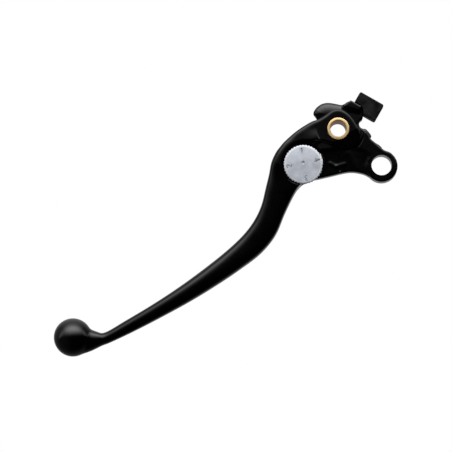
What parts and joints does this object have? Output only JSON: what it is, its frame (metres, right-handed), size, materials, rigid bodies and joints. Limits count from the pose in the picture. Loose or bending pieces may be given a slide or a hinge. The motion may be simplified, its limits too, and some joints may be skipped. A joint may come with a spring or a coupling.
{
  "type": "clutch lever",
  "caption": "Motorcycle clutch lever: cast ball-ended blade forked over a knuckle, turning on a plain bush, with a numbered cam dial that sets its reach.",
  "frame": {"origin": "on the axis of the pivot bush, at half its height", "axes": "+X along the handlebar from the ball end towards the pivot, +Y forward away from the handlebar, +Z along the pivot axis towards the numbered dial"},
  "size_m": [0.2009, 0.0567, 0.0202],
  "materials": {
    "blade_paint": "satin black paint on a casting",
    "knuckle_paint": "satin black paint on a casting",
    "bush_brass": "turned and polished",
    "thrust_nylon": "plain moulded",
    "spring_steel": "oil blackened",
    "fitting_steel": "bright zinc",
    "buffer_rubber": "matte moulded",
    "dial_aluminium": "satin silver anodised"
  },
  "bodies": {
    "carrier": {"knuckle": "knuckle_paint", "pivot_bush": "bush_brass", "upper_thrust_washer": "thrust_nylon", "lower_thrust_washer": "thrust_nylon", "return_spring": "spring_steel", "rest_buffer": "buffer_rubber", "buffer_pin": "fitting_steel", "cam_follower_pin": "fitting_steel"},
    "blade": {"lever_blade": "blade_paint", "detent_spring": "spring_steel"},
    "adjuster": {"adjuster_dial": "dial_aluminium", "dial_spindle": "fitting_steel", "adjuster_cam": "fitting_steel", "cam_pin": "fitting_steel", "wave_washer": "spring_steel", "spindle_washer": "fitting_steel", "retaining_clip": "spring_steel"},
    "detent": {"detent_ball": "fitting_steel"}
  },
  "joints": [
    {"name": "blade_reach", "type": "hinge", "parent": "carrier", "child": "blade", "pos_m": [0, 0, 0], "axis": [0, 0, -1], "range_deg": [0, 9]},
    {"name": "dial_turn", "type": "hinge", "parent": "blade", "child": "adjuster", "pos_m": [-0.0239, -0.0077, 0], "axis": [0, 0, 1], "range_deg": [0, 270]},
    {"name": "detent_press", "type": "slide", "parent": "blade", "child": "detent", "axis": [0, 0, -1], "range_m": [0, 0.0004], "stiffness_N_per_m": 300, "springref_m": -0.0005, "deforming": ["detent_spring"]}
  ],
  "couplings": [
    {"joint": "dial_turn", "follows": "blade_reach", "ratio": 30}
  ]
}
